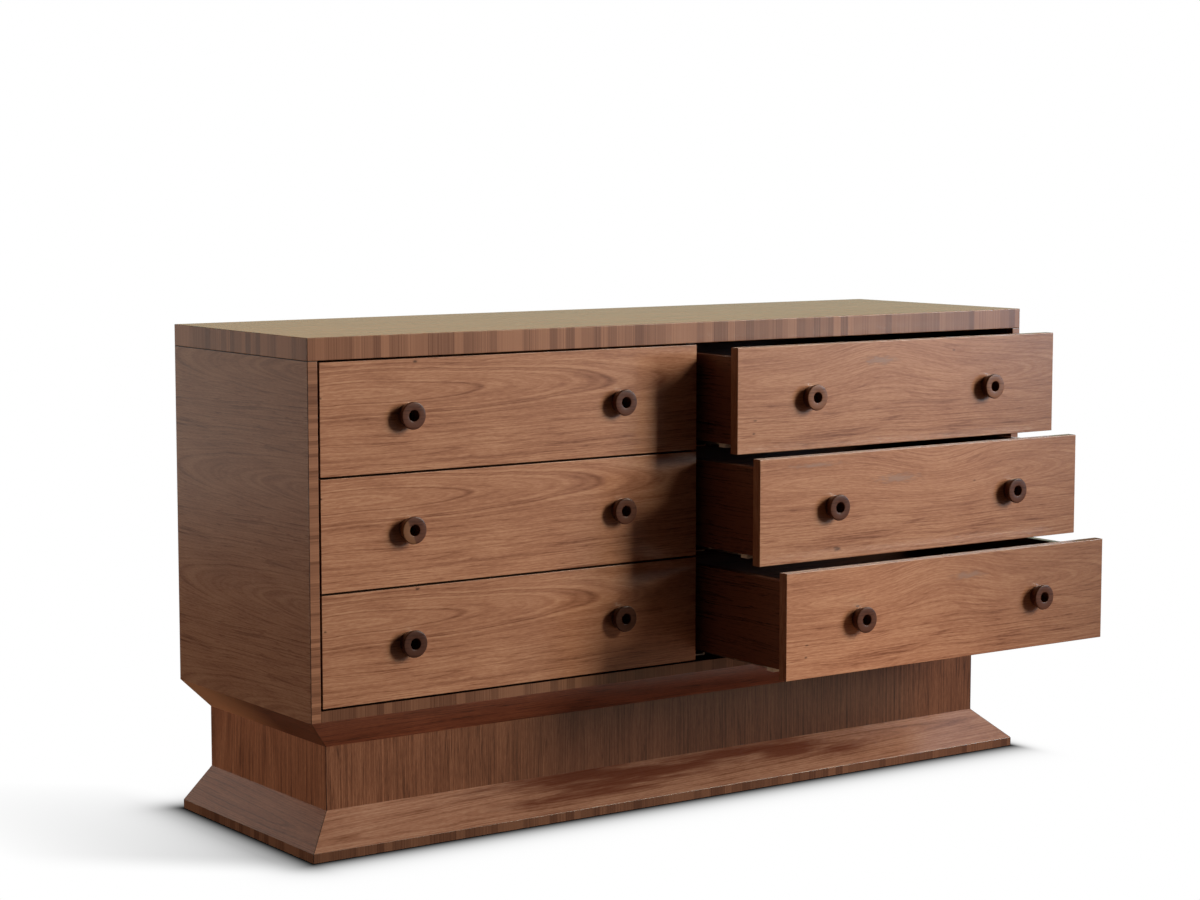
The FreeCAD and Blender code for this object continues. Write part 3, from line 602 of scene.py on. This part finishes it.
class CHEST_OT_base(bpy.types.Operator):
    """Dress the moulding, the plinth and the skirt"""

    bl_idname = "chest.base"
    bl_label = "Base"

    # Each side, the axis it runs along, and how strong the stains of its moulding, plinth, skirt and foot
    # are; the left side's strengths are painted light and shade for how light falls on that side
    SIDES = (
        ("front", X, 1.0, 1.1, 1.45, 1.2),
        ("left", Y, 0.65, 2.65, 3.2, 2.4),
        ("right", Y, 1.0, 1.1, 1.45, 1.2),
    )
    LEAF, LINE = 115*MM, 4*MM  # width of a leaf of the plinth, and between its lines
    RINGS = (9*MM, 13*MM, 17*MM)  # radii of the skirt's late-wood lines
    # Dark streaks of the front skirt, partly its own figure and partly painted shade, in millimetres: along
    # it, its height, half length and half height
    STREAKS = ((-270, 60, 210, 13), (-110, 52, 240, 22), (90, 57, 170, 15), (-220, 34, 190, 9),
               (250, 50, 120, 17), (360, 42, 100, 7))
    TORN = (7, 110, 0)  # notches in a metre of the streaks' outlines
    LACQUER = (0.3, 1.35)  # roughness and IOR of the thinner lacquer in the shade

    def execute(self, context):
        colours, sizes = context.scene.chest_colours, context.scene.chest_sizes
        tones = colours.veneer_light, colours.veneer_middle, colours.veneer_dark
        bands = colours.band_light, colours.band_dark
        for side, run, moulding, plinth, skirt, foot in self.SIDES:
            low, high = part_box(f"skirt_{side}")
            centre = Vector()
            centre[1 - run] = (low[1 - run] + high[1 - run])/2
            cut = {"Slice": 0.06, "Rise": 0.03}

            # Walnut veneer, stained and lacquered: dark and reddish, with its grain along the moulding
            material, tree = new_material(f"walnut veneer, {side} moulding")
            point = board(tree, run, Z)
            grain = figured(stained(tones, colours.moulding, moulding), 1.3, 0.1)
            wood, lines = leaf(tree, point, dict(cut, Seed=41.0), grain)
            if side == "left":
                # Painted light: this length turns pale towards the back, in the sapwood colour
                pale, = stained((colours.sapwood_and_painted_light,), WHITE, 4.0)
                back = add(tree, "SeparateXYZ", {0: point})[0]
                back = add(tree, "MapRange", {0: back, 1: -0.28, 2: -0.06})[0]
                wood = add(tree, "Mix", {0: back, 6: wood, 7: (*pale, 1)}, data_type="RGBA")[2]
            lacquered(tree, seamed(tree, wood, sizes, colours.seam), lines, *self.LACQUER)
            dress(f"upper_moulding_{side}", material)

            # Walnut veneer in upright leaves, stained and lacquered: fine dark lines, each leaf in its tone
            material, tree = new_material(f"walnut veneer, {side} plinth")
            point = board(tree, Z, run)
            grain = figured(stained(tones, colours.plinth, plinth), 1.45, 0.1)
            wood, lines = leaf(tree, point, dict(cut, Slice=0.4, Seed=43.0), grain)
            light, dark = stained(bands, colours.plinth, 1.6*plinth)
            leaves, _ = strips(tree, point, self.LEAF, light, [0.5*part for part in dark], self.LINE, 1.2)
            wood = add(tree, "Mix", {0: 0.4, 6: wood, 7: leaves}, data_type="RGBA")[2]
            if side == "front":
                # Painted shade: darker from the middle to the right, under the open drawers, and painted
                # light at the end, paler again
                wood = painted_fade(tree, wood, point, 1, -0.55, 0.1, 1.03, 0.56)
                wood = painted_fade(tree, wood, point, 1, 0.5, 0.62, 1.0, 1.33)
            lacquered(tree, seamed(tree, wood, sizes, colours.seam), lines, *self.LACQUER)
            dress(f"plinth_{side}", material)

            # Walnut veneer, stained and lacquered: long arches and dark streaks, partly painted shade, above
            # a striped foot
            material, tree = new_material(f"walnut veneer, {side} skirt")
            point = board(tree, run, Z, centre)
            cut = {"Rise": -0.037, "Heart": 0.041, "Seed": 47.0}
            # The left skirt takes the plinth's stain, as part of the left side's painted light
            stain = colours.plinth if side == "left" else colours.skirt
            slope, lines = leaf(tree, point, cut, stained(tones, stain, skirt), self.RINGS)
            if side == "front":
                dark, = stained((colours.veneer_dark,), colours.moulding, 0.9)
                # Painted shade: the front skirt darkens from its left part towards the middle, and stays so
                # to the right
                slope = painted_fade(tree, slope, point, 0, -0.4, -0.1, 1.0, 0.86)
                slope = marked(tree, slope, point, in_metres(self.STREAKS), dark, 0.85, self.TORN)
            band, _ = strips(tree, board(tree, Z, run), sizes.strip, *stained(bands, colours.foot, foot))
            wood = parted(tree, 1 - run, slope, band)
            lacquered(tree, seamed(tree, wood, sizes, colours.seam), lines)
            dress(f"skirt_{side}", material)
        return {"FINISHED"}


class CHEST_OT_boxes(bpy.types.Operator):
    """Dress the drawer boxes"""

    bl_idname = "chest.boxes"
    bl_label = "Drawer boxes"

    # Each board: the axes along and across its grain, its tone, and its lacquer's roughness and IOR; the
    # back's low tone is painted shade in the gaps
    BOARDS = {
        "left": (Y, Z, 1.0, 0.27, 1.5),
        "right": (Y, Z, 1.0, 0.27, 1.5),
        "bottom": (X, Y, 1.0, 0.27, 1.5),
        "back": (X, Z, 0.4, 0.6, 1.2),
    }

    def execute(self, context):
        colours = context.scene.chest_colours
        cut = {"Slice": 0.05, "Rise": 0.05, "Seed": 51.0}
        tones = colours.box_light, colours.box_light, colours.box_dark
        for part, (grain, across, shade, roughness, ior) in self.BOARDS.items():
            # Walnut board, lacquered: dark beside the fronts, and at the back darkened as painted shade and
            # so dull that no gap gleams
            material, tree = new_material(f"walnut board, drawer {part}")
            wood, lines = leaf(tree, board(tree, grain, across), cut, stained(tones, WHITE, shade))
            lacquered(tree, wood, lines, roughness, ior)
            for body in DRAWERS:
                dress(f"{body}_box_{part}", material)
        return {"FINISHED"}


class CHEST_OT_knobs(bpy.types.Operator):
    """Turn the twelve ring knobs"""

    bl_idname = "chest.knobs"
    bl_label = "Knobs"

    FACE, BASE, BORE = 23.0*MM, 18.5*MM, 9.25*MM  # radii
    LENGTH, FLOOR = 18*MM, 3*MM  # base to face, and base to the bore's floor
    RIM, LIP = 2*MM, 1*MM  # roundings of the face's two edges
    INSET = 161.5*MM  # end of a front to a knob's axis
    PALE = "left_middle_drawer"  # the drawer with sapwood in its left-hand knob
    # Tones of darker knobs, and of knobs with a paler face, which is painted sheen
    TONES_AND_SHEENS = {"left_bottom_drawer": (0.65, 0.65, 0.65), "right_top_drawer": (2.2, 2.6, 2.5)}

    def execute(self, context):
        colours = context.scene.chest_colours
        tones = colours.knob_light, colours.knob_light, colours.knob_dark
        cut = {"Slice": 0.05, "Rise": 0.05, "Seed": 61.0}
        base, rim = (self.BASE, 0), (self.FACE, self.LENGTH)
        lip, floor = (self.BORE, self.LENGTH), (self.BORE, self.FLOOR)
        face_edge, bore_edge = rounded(rim, base, lip, self.RIM), rounded(lip, rim, floor, self.LIP)
        outline = [(0, 0), base, *face_edge, *bore_edge, floor, (0, self.FLOOR)]
        for body in DRAWERS:
            low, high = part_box(f"{body}_front")
            # Dark walnut, turned and lacquered: a brown ring with a soft gleam round a bore that stays dark
            material, tree = new_material(f"dark walnut, {body} knobs")
            point = board(tree, X, Z, low)
            stain = self.TONES_AND_SHEENS.get(body, WHITE)
            wood, lines = leaf(tree, point, cut, stained(tones, [min(part, 1) for part in stain]))
            # The face takes the factors above one: painted sheen
            face, _ = leaf(tree, point, cut, stained(tones, stain))
            wood = parted(tree, Y, wood, face)
            if body == self.PALE:
                # Sapwood takes the left third of the left-hand knob, up to a nearly upright line
                aside, up, _ = add(tree, "SeparateXYZ", {0: point})
                aside = add(tree, "Math", {0: up, 1: 0.4, 2: aside}, operation="MULTIPLY_ADD")[0]
                edge = self.INSET + 0.2*(high.z - low.z) - 8*MM
                pale = add(tree, "MapRange", {0: aside, 1: edge, 2: edge + 3*MM, 3: 0.65, 4: 0.0})[0]
                wood = add(tree, "Mix", {0: pale, 6: wood, 7: (*colours.sapwood_and_painted_light, 1)}, data_type="RGBA")[2]
            lacquered(tree, wood, lines, 0.3, 1.3)
            shape = bmesh.new()
            for x in (low.x + self.INSET, high.x - self.INSET):
                turned(shape, outline, Vector((x, low.y, (low.z + high.z)/2)))
            piece(f"{body}_turned_knobs", shape, material, body, f"{body}_knobs")
        return {"FINISHED"}


class CHEST_OT_hardware(bpy.types.Operator):
    """Make the runner channels, the clips, the glides and the knob screws, and dress the rails"""

    bl_idname = "chest.hardware"
    bl_label = "Hardware"

    WALL = 5*MM  # drawer box to the wall beside it
    CHANNEL = (21.5*MM, 39.5*MM, 7.5*MM, 27*MM)  # from the wall, and above the front's foot
    STEEL, CHANNEL_LENGTH = 1.5*MM, 400*MM
    CLIP = (5*MM, 21.5*MM, 7*MM, 14*MM)  # from the wall, and above the front's foot
    CLIP_BACK, CLIP_LENGTH = 30*MM, 18*MM  # behind the front's back, and along the runner
    GLIDES, GLIDE = (79*MM, 161*MM), 5*MM  # behind the front's face, and the glide's width
    CLIP_EASING, GLIDE_EASING = 1*MM, 0.6*MM
    SCREW = ((0, 6), (2.8, 6), (4, 5), (4, 3), (2, 3), (2, -14), (0, -14))  # millimetres: radius, depth
    # Size of the patches in each finish, and its roughness from patch to patch
    ZINC, NYLON, BLACK = (16.7*MM, 0.3, 0.45), (4*MM, 0.42, 0.58), (2.5*MM, 0.5, 0.7)

    def finish(self, name, colour, metallic, patches):
        """A plain colour whose gloss changes from patch to patch."""
        width, smooth, dull = patches
        material, tree = new_material(name)
        place = add(tree, "TexCoord")["Object"]
        cloud = add(tree, "TexNoise", {"Vector": place, "Scale": 1/width})[0]
        rough = add(tree, "MapRange", {0: cloud, 3: smooth, 4: dull})[0]
        shader = add(tree, "BsdfPrincipled", {
            "Base Color": (*colour, 1), "Metallic": metallic, "Roughness": rough})[0]
        add(tree, "OutputMaterial", {"Surface": shader})
        return material

    def execute(self, context):
        colours = context.scene.chest_colours
        # Zinc plating: a soft, slightly cloudy metal gleam
        zinc = self.finish("zinc plated steel", colours.steel, 1.0, self.ZINC)
        # Moulded nylon: pale and matt, so the clips show as light specks in the shade
        nylon = self.finish("moulded nylon", colours.nylon, 0.0, self.NYLON)
        # Blackened steel: the bores stay dark to their floors
        black = self.finish("blackened steel", colours.black_steel, 1.0, self.BLACK)
        dress("cabinet_rails", zinc)

        screw = [(radius*MM, depth*MM) for radius, depth in self.SCREW]
        for body in DRAWERS:
            low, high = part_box(f"{body}_front")
            walls = ((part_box(f"{body}_box_left")[0].x - self.WALL, 1),
                     (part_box(f"{body}_box_right")[1].x + self.WALL, -1))
            channels, clips, screws = bmesh.new(), bmesh.new(), bmesh.new()
            for wall, inward in walls:
                near, far = (wall + inward*part for part in self.CHANNEL[:2])
                foot, head = (low.z + part for part in self.CHANNEL[2:])
                skin, roof = inward*self.STEEL, head - self.STEEL
                section = [(near, foot), (near, head), (far, head), (far, foot),
                           (far - skin, foot), (far - skin, roof), (near + skin, roof), (near + skin, foot)]
                drawn(channels, section, high.y, high.y + self.CHANNEL_LENGTH)
                left, right = sorted(wall + inward*part for part in self.CLIP[:2])
                start = high.y + self.CLIP_BACK
                eased(clips, Vector((left, start, low.z + self.CLIP[2])),
                      Vector((right, start + self.CLIP_LENGTH, low.z + self.CLIP[3])), self.CLIP_EASING)
                for back in self.GLIDES:
                    middle = Vector(((left + right)/2, low.y + back, low.z + self.CLIP[3]))
                    half = Vector((self.GLIDE/2, self.GLIDE/2, self.GLIDE/2))
                    eased(clips, middle - half, middle + Vector((half.x, half.y, 0)), self.GLIDE_EASING)
            for x in (low.x + CHEST_OT_knobs.INSET, high.x - CHEST_OT_knobs.INSET):
                turned(screws, screw, Vector((x, low.y, (low.z + high.z)/2)))
            for name, shape, material in (("channels", channels, zinc), ("clips", clips, nylon),
                                          ("screws", screws, black)):
                piece(f"{body}_{name}", shape, material, body, f"{body}_hardware")
        return {"FINISHED"}


class CHEST_OT_stage(bpy.types.Operator):
    """Set up the pale floor, the studio lights and the camera"""

    bl_idname = "chest.stage"
    bl_label = "Stage"

    HALF, UNDER = 30, 0.5*MM  # half the floor's width, and how far it lies under the foot
    PAPER = "7c6c66"  # the floor paper's colour in the chest's light
    CLEAR, CURVE, LIT = 42*MM, 1.35, 2.5  # how the painted contact shadow clears, and sooner on the lit side
    ASIDE, BACK = 0.77, 0.64  # which way the painted broad shadow runs, as the key would throw it
    REACH, DEPTH = 0.5, 0.45  # how far that reaches, and how dark it is at the base
    AIM = (0, -0.3, 0.42)  # what the lights face

    def execute(self, context):
        scene = context.scene
        stage = scene.chest_stage
        floor_mesh = bpy.data.meshes.new("floor")
        shape = bmesh.new()
        under = Matrix.Translation((0, 0, -self.UNDER))
        bmesh.ops.create_grid(shape, x_segments=1, y_segments=1, size=self.HALF, matrix=under)
        shape.to_mesh(floor_mesh)
        shape.free()
        floor = bpy.data.objects.new("floor", floor_mesh)
        scene.collection.objects.link(floor)
        # Matt paper that throws little light back, and that the camera sees white but for two soft painted
        # shadows
        material, tree = new_material("studio paper")
        paper = add(tree, "BsdfDiffuse", {"Color": (*linear(self.PAPER), 1)})[0]
        foot_low, foot_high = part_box("skirt_front")
        deep = -foot_low.y/2
        place = add(tree, "TexCoord")["Object"]
        x, y, _ = add(tree, "SeparateXYZ", {0: place})
        away = add(tree, "VectorMath", {0: place, 1: (0, -deep, 0)}, operation="SUBTRACT")[0]
        away = add(tree, "VectorMath", {0: away}, operation="ABSOLUTE")[0]
        away = add(tree, "VectorMath", {0: away, 1: (foot_high.x, deep, 0)}, operation="SUBTRACT")[0]
        lit = add(tree, "MapRange", {0: x, 1: -0.1, 2: 0.1, 3: 1.0, 4: self.LIT})[0]
        lit = add(tree, "CombineXYZ", {0: lit, 1: 1.0})[0]
        away = add(tree, "VectorMath", {0: away, 1: lit}, operation="MULTIPLY")[0]
        away = add(tree, "VectorMath", {0: away, 1: (0, 0, 0)}, operation="MAXIMUM")[0]
        away = add(tree, "VectorMath", {0: away}, operation="LENGTH")["Value"]
        # The painted contact shadow clears over a hand's width
        contact = add(tree, "Math", {0: away, 1: 1/self.CLEAR}, operation="MULTIPLY")[0]
        contact = add(tree, "Math", {0: contact, 1: self.CURVE}, operation="POWER")[0]
        contact = add(tree, "Math", {0: math.exp(-1), 1: contact}, operation="POWER")[0]
        contact = add(tree, "Math", {0: 1.0, 1: contact}, operation="SUBTRACT")[0]
        # A broad painted shadow, as the key would throw it, to the left and back: how far along it, and where
        # it leaves the base
        thrown = add(tree, "Math", {0: x, 1: foot_low.x}, operation="SUBTRACT")[0]
        thrown = add(tree, "Math", {0: thrown, 1: -1/self.ASIDE}, operation="MULTIPLY")[0]
        leaves = add(tree, "Math", {0: thrown, 1: -self.BACK, 2: y}, operation="MULTIPLY_ADD")[0]
        fades = add(tree, "MapRange", {0: thrown, 1: 0.0, 2: self.REACH, 3: self.DEPTH, 4: 0.0})[0]
        starts = add(tree, "MapRange", {0: leaves, 1: foot_low.y - 0.1, 2: foot_low.y + 0.06},
                     interpolation_type="SMOOTHSTEP")[0]
        ends = add(tree, "MapRange", {0: leaves, 1: foot_low.y, 2: 0.22, 3: 1.0, 4: 0.0})[0]
        beside = add(tree, "MapRange", {0: thrown, 1: -0.02, 2: 0.06})[0]
        for part in (starts, ends, beside):
            fades = add(tree, "Math", {0: fades, 1: part}, operation="MULTIPLY")[0]
        broad = add(tree, "Math", {0: 1.0, 1: fades}, operation="SUBTRACT")[0]
        white = add(tree, "Math", {0: contact, 1: broad}, operation="MULTIPLY")[0]
        seen = add(tree, "Emission", {"Strength": white})[0]
        camera_ray = add(tree, "LightPath")["Is Camera Ray"]
        surface = add(tree, "MixShader", {0: camera_ray, 1: paper, 2: seen})[0]
        add(tree, "OutputMaterial", {"Surface": surface})
        floor_mesh.materials.append(material)

        # Degrees from the front towards the right and upwards, then distance, width and height in metres
        lamps = (
            ("key", 42, 18.5, 14, 2.2, 5.7, stage.key_level, "fffae7"),
            ("side_key", 54, 18.5, 14, 2.7, 5.7, stage.side_level, "fff7f3"),
            ("sheen", 50, 6, 14, 1.6, 1.2, stage.sheen_level, "95d3ff"),
            ("wall", 145, 26, 4, 3.0, 1.4, stage.wall_level, "ffae59"),
            ("sweep", 145, 9, 4, 3.0, 1.6, stage.sweep_level, "d3ffed"),
            ("fill", -100, 15, 4, 2.0, 1.2, stage.fill_level, "f8dfc2"),
            ("mirror", -157, 9.8, 4, 2.6, 2.2, stage.mirror_level, "f6fff9"),
            ("low_fill", -110, -3, 4, 2.0, 0.35, stage.low_level, "fbffff"),
            ("upper", 80, 40, 4, 1.6, 1.0, stage.upper_level, "f0f2ff"),
            ("bounce", 33.7, -27.2, 0.81, 0.9, 0.08, stage.bounce_level, "ffcba0"),
        )
        for name, azimuth, height, far, wide, high, level, code in lamps:
            turn, lift = math.radians(azimuth), math.radians(height)
            way = Vector((math.sin(turn)*math.cos(lift), -math.cos(turn)*math.cos(lift), math.sin(lift)))
            light = bpy.data.lights.new(name, "AREA")
            light.shape = "RECTANGLE"
            light.size, light.size_y, light.color = wide, high, linear(code)
            light.energy = level*(math.pi*far)**2
            lamp = bpy.data.objects.new(name, light)
            lamp.location = Vector(self.AIM) + way*far
            lamp.rotation_euler = (-way).to_track_quat("-Z", "Y").to_euler()
            lamp.visible_camera = False
            scene.collection.objects.link(lamp)

        world = bpy.data.worlds.new("white studio")
        world.use_nodes = True
        tree = world.node_tree
        tree.nodes.clear()
        seen = add(tree, "LightPath")["Is Camera Ray"]
        white = add(tree, "Background", {"Color": (1, 1, 1, 1), "Strength": seen})[0]
        add(tree, "OutputWorld", {"Surface": white})
        scene.world = world
        scene.view_settings.view_transform = "Standard"

        lens = bpy.data.cameras.new("camera")
        lens.lens = stage.lens
        lens.sensor_width = 36
        camera = bpy.data.objects.new("camera", lens)
        camera.location = stage.camera_place
        camera.rotation_euler = stage.camera_turn
        scene.collection.objects.link(camera)
        scene.camera = camera
        return {"FINISHED"}


class CHEST_PT_panel(bpy.types.Panel):
    """The chest's operators and settings in the 3D view's sidebar"""

    bl_idname = "CHEST_PT_panel"
    bl_label = "Walnut chest"
    bl_space_type = "VIEW_3D"
    bl_region_type = "UI"
    bl_category = "Chest"

    def draw(self, context):
        for operator in OPERATORS:
            self.layout.operator(operator.bl_idname)
        for settings in (context.scene.chest_colours, context.scene.chest_sizes, context.scene.chest_stage):
            for name in settings.__annotations__:
                self.layout.prop(settings, name)


GROUPS = {"chest_colours": ChestColours, "chest_sizes": ChestSizes, "chest_stage": ChestStage}
OPERATORS = (
    CHEST_OT_fronts, CHEST_OT_case, CHEST_OT_base, CHEST_OT_boxes, CHEST_OT_knobs, CHEST_OT_hardware,
    CHEST_OT_stage,
)


def register():
    """Register the classes and hang the settings on the scene."""
    for name, group in GROUPS.items():
        bpy.utils.register_class(group)
        setattr(bpy.types.Scene, name, bpy.props.PointerProperty(type=group))
    for operator in OPERATORS:
        bpy.utils.register_class(operator)
    bpy.utils.register_class(CHEST_PT_panel)


def unregister():
    """Undo register."""
    bpy.utils.unregister_class(CHEST_PT_panel)
    for operator in reversed(OPERATORS):
        bpy.utils.unregister_class(operator)
    for name, group in GROUPS.items():
        delattr(bpy.types.Scene, name)
        bpy.utils.unregister_class(group)


def main():
    """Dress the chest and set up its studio."""
    register()
    walnut_figure(bpy.context.scene.chest_sizes)
    for operator in OPERATORS:
        area, name = operator.bl_idname.split(".")
        getattr(getattr(bpy.ops, area), name)()


if __name__ == "__main__":
    main()
